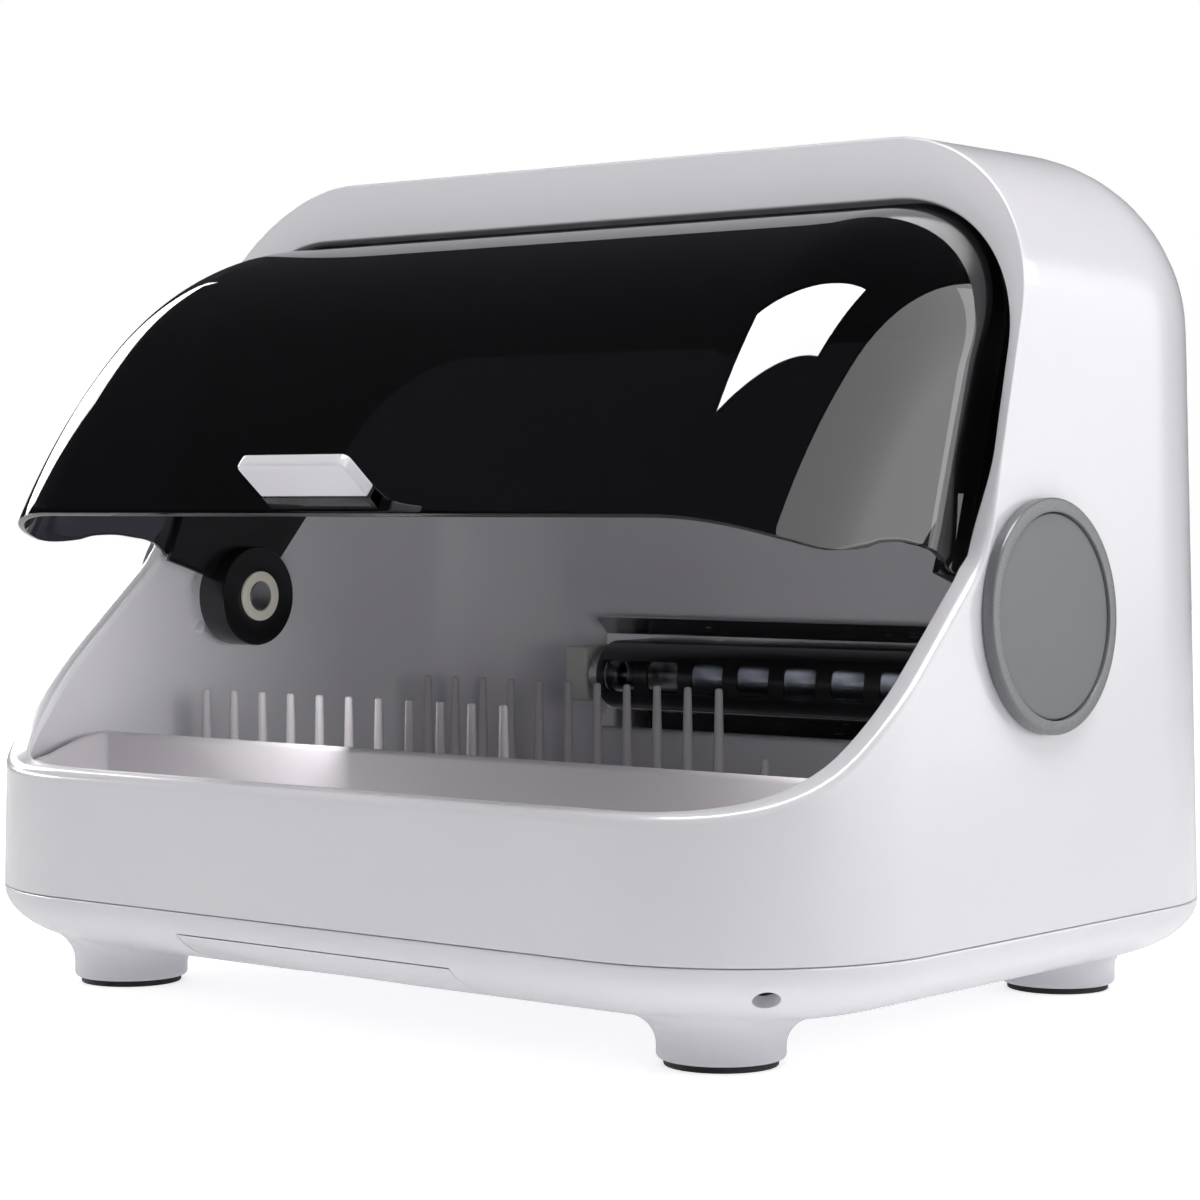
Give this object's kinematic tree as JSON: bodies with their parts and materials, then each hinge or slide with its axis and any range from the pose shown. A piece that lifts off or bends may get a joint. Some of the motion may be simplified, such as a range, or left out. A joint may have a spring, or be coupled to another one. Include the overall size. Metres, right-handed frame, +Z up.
{
  "type": "uv sterilizer cabinet",
  "caption": "Countertop dish cabinet with a smoke-tinted half-drum lid, a germicidal lamp, racks, a trough and a drip tray drawer.",
  "frame": {"origin": "centre of the bounding box on the surface that the rubber feet stand on, lid half open", "axes": "+X to the cabinet's right side, +Y to its back, +Z up"},
  "size_m": [0.4254, 0.3286, 0.3197],
  "materials": {
    "white_abs": "white moulded ABS, soft gloss",
    "pearl_abs": "pearl white moulded ABS, soft gloss",
    "grey_insert": "grey moulded polypropylene, satin",
    "smoke_window": "smoke-tinted polycarbonate, polished",
    "dark_carrier": "black moulded ABS",
    "grey_disc": "grey moulded ABS, fine texture",
    "ring_grey": "grey moulded ABS, satin",
    "steel": "turned stainless steel",
    "aluminium": "drawn aluminium",
    "acetal": "natural acetal",
    "rubber": "black moulded rubber",
    "quartz": "clear quartz tube",
    "bright_sheet": "polished aluminium sheet",
    "black_nylon": "black moulded nylon",
    "white_nylon": "white moulded nylon"
  },
  "bodies": {
    "cabinet": {"housing": "white_abs", "base_pan": "pearl_abs", "foot_pad_front_left": "rubber", "foot_pad_front_right": "rubber", "foot_pad_rear_left": "rubber", "foot_pad_rear_right": "rubber", "drain_deck": "grey_insert", "cutlery_trough": "grey_insert", "plate_rack": "grey_insert", "bowl_rack": "grey_insert", "hinge_ring_left": "ring_grey", "hinge_ring_right": "ring_grey", "hinge_cap_left": "grey_disc", "hinge_cap_right": "grey_disc", "hinge_pin_left": "steel", "hinge_pin_right": "steel", "friction_washer_left": "rubber", "friction_washer_right": "rubber", "uv_tube": "quartz", "lamp_cap_left": "aluminium", "lamp_cap_right": "aluminium", "lamp_holder_left": "white_nylon", "lamp_holder_right": "white_nylon", "lamp_reflector": "bright_sheet", "lamp_guard": "dark_carrier", "driver_box": "white_nylon", "interlock_switch": "black_nylon", "power_inlet": "black_nylon", "button_bezel": "steel", "button_switch": "black_nylon"},
    "lid": {"lid_window": "smoke_window", "lid_carrier": "dark_carrier", "lid_grip": "white_abs", "hinge_bush_left": "acetal", "hinge_bush_right": "acetal"},
    "drawer": {"drip_tray": "pearl_abs"},
    "button": {"power_button": "white_abs"}
  },
  "joints": [
    {"name": "lid_hinge", "type": "hinge", "parent": "cabinet", "child": "lid", "pos_m": [0, -0.00183, 0.1481], "axis": [-1, 0, 0], "range_deg": [-36.5, 50]},
    {"name": "drawer_slide", "type": "slide", "parent": "cabinet", "child": "drawer", "axis": [0, -1, 0], "range_m": [0, 0.12]},
    {"name": "button_press", "type": "slide", "parent": "cabinet", "child": "button", "axis": [0, -1, 0], "range_m": [0, 0.002], "stiffness_N_per_m": 400}
  ]
}
